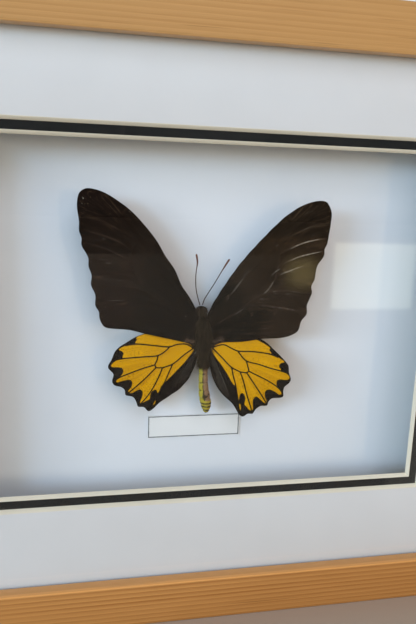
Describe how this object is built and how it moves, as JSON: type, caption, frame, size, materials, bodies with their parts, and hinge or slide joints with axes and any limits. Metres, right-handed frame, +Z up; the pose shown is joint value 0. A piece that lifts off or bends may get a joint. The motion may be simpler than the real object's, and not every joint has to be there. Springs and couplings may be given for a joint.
{
  "type": "framed butterfly specimen",
  "caption": "Large dried butterfly set with open wings in a deep glazed wooden case with a double mat, a mount board and a label card.",
  "frame": {"origin": "middle of the bottom face of the case, halfway along its width and its depth", "axes": "+X to the right along the width as seen from the glass, +Y from the glass towards the wall, +Z up"},
  "size_m": [0.3134, 0.042, 0.2635],
  "materials": {
    "pine": "clear satin over straight-grained pine",
    "glass": "clear float glass",
    "white_mat": "matt white mat board with a cream core",
    "black_mat": "matt black mat board with a cream core",
    "foam_board": "white foam board",
    "mount_board": "matt pale blue-grey board",
    "hardboard": "brown pressed hardboard",
    "steel": "bright zinc-plated steel",
    "label_card": "matt card with a printed border",
    "foam_pad": "white closed-cell foam",
    "insect_body": "dark brown scales and hair, yellow and brown abdomen",
    "forewing": "matt brown-black wing scales",
    "hindwing": "golden yellow wing scales with black veins and border",
    "antenna": "dark brown, slightly glossy"
  },
  "bodies": {
    "root": {"top_rail": "pine", "bottom_rail": "pine", "left_rail": "pine", "right_rail": "pine", "glass_pane": "glass", "upper_mat": "white_mat", "lower_mat": "black_mat", "spacer_top": "foam_board", "spacer_bottom": "foam_board", "spacer_left": "foam_board", "spacer_right": "foam_board", "mount_board": "mount_board", "back_panel": "hardboard", "tab_top_1": "steel", "tab_top_2": "steel", "tab_top_3": "steel", "tab_top_4": "steel", "tab_bottom_1": "steel", "tab_bottom_2": "steel", "tab_bottom_3": "steel", "tab_bottom_4": "steel", "tab_left_1": "steel", "tab_left_2": "steel", "tab_right_1": "steel", "tab_right_2": "steel", "hanger": "steel", "hanger_rivet_left": "steel", "hanger_rivet_right": "steel", "label_card": "label_card", "mounting_pad": "foam_pad", "body": "insect_body", "left_forewing": "forewing", "right_forewing": "forewing", "left_hindwing": "hindwing", "right_hindwing": "hindwing", "left_antenna": "antenna", "right_antenna": "antenna"}
  },
  "joints": []
}
